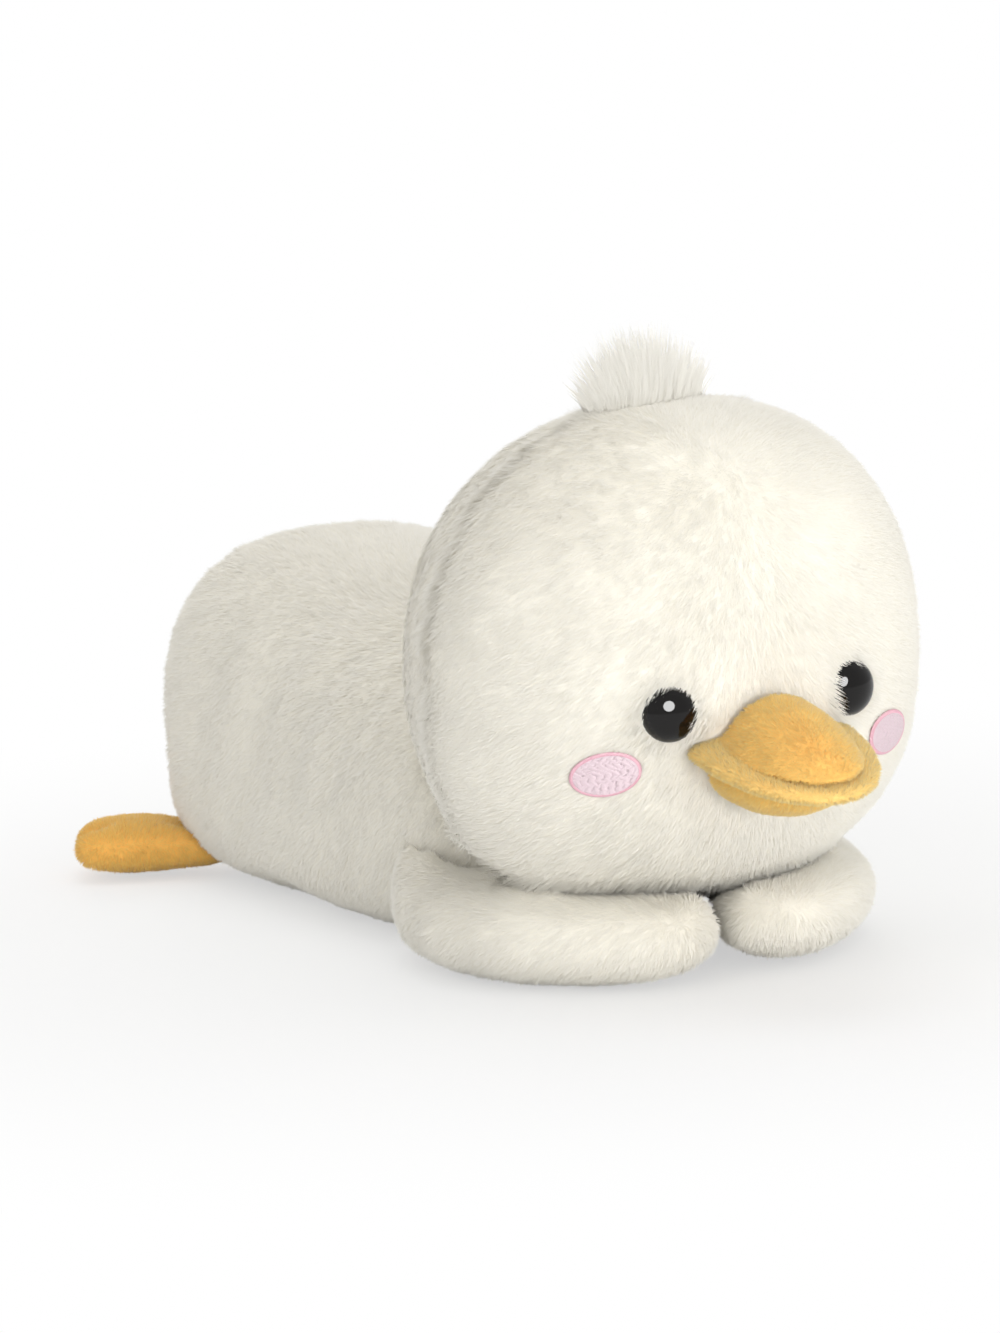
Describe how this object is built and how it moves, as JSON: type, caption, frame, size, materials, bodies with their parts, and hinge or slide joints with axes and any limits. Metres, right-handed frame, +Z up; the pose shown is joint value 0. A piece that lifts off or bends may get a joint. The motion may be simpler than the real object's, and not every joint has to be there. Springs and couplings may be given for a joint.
{
  "type": "plush goose",
  "caption": "Stuffed plush goose lying on its belly with its chin on its wings, orange bill and feet, safety eyes.",
  "frame": {"origin": "on the table, under the middle of the goose's box", "axes": "+Z up, the goose faces -Y and its left side is +X"},
  "size_m": [0.1306, 0.246, 0.132],
  "materials": {
    "white_plush": "soft medium-length pile",
    "orange_velvet": "short velvety pile",
    "pale_velvet": "short velvety pile",
    "filling": "loose polyester fibre",
    "black_eye": "polished",
    "washer_plastic": "moulded",
    "pink_thread": "satin embroidery"
  },
  "bodies": {
    "body": {"body_back_panel": "white_plush", "body_belly_panel": "white_plush", "body_rump_panel": "white_plush", "body_stuffing": "filling"},
    "neck": {"neck_stuffing": "filling"},
    "head": {"head_face_panel": "white_plush", "head_back_panel": "white_plush", "head_stuffing": "filling", "head_tuft": "white_plush", "eye_right": "black_eye", "eye_left": "black_eye", "eye_washer_right": "washer_plastic", "eye_washer_left": "washer_plastic", "cheek_right": "pink_thread", "cheek_left": "pink_thread", "upper_bill": "orange_velvet", "upper_bill_stuffing": "filling", "lower_bill": "orange_velvet", "lower_bill_stuffing": "filling", "bill_lip": "pale_velvet"},
    "wing_right": {"wing_right_top_panel": "white_plush", "wing_right_under_panel": "white_plush", "wing_right_stuffing": "filling"},
    "wing_left": {"wing_left_top_panel": "white_plush", "wing_left_under_panel": "white_plush", "wing_left_stuffing": "filling"},
    "foot_right": {"foot_right_top_panel": "orange_velvet", "foot_right_sole_panel": "orange_velvet", "foot_right_stuffing": "filling"},
    "foot_left": {"foot_left_top_panel": "orange_velvet", "foot_left_sole_panel": "orange_velvet", "foot_left_stuffing": "filling"}
  },
  "joints": [
    {"name": "head_turn", "type": "hinge", "parent": "body", "child": "neck", "pos_m": [0, -0.04973, 0.066], "axis": [0, 0, 1], "range_deg": [-10, 10], "stiffness_Nm_per_rad": 0.12},
    {"name": "head_nod", "type": "hinge", "parent": "neck", "child": "head", "pos_m": [0, -0.04973, 0.066], "axis": [-1, 0, 0], "range_deg": [0, 10], "stiffness_Nm_per_rad": 0.15},
    {"name": "wing_right_swing", "type": "hinge", "parent": "body", "child": "wing_right", "pos_m": [-0.04344, -0.00173, 0.011], "axis": [0, 0, -1], "range_deg": [0, 30], "stiffness_Nm_per_rad": 0.02},
    {"name": "wing_left_swing", "type": "hinge", "parent": "body", "child": "wing_left", "pos_m": [0.04344, -0.00173, 0.011], "axis": [0, 0, 1], "range_deg": [0, 30], "stiffness_Nm_per_rad": 0.02},
    {"name": "foot_right_flex", "type": "hinge", "parent": "body", "child": "foot_right", "pos_m": [-0.0422, 0.10227, 0.007], "axis": [0.5592, 0.829, 0], "range_deg": [0, 25], "stiffness_Nm_per_rad": 0.005},
    {"name": "foot_left_flex", "type": "hinge", "parent": "body", "child": "foot_left", "pos_m": [0.0422, 0.10227, 0.007], "axis": [0.5592, -0.829, 0], "range_deg": [0, 25], "stiffness_Nm_per_rad": 0.005}
  ]
}
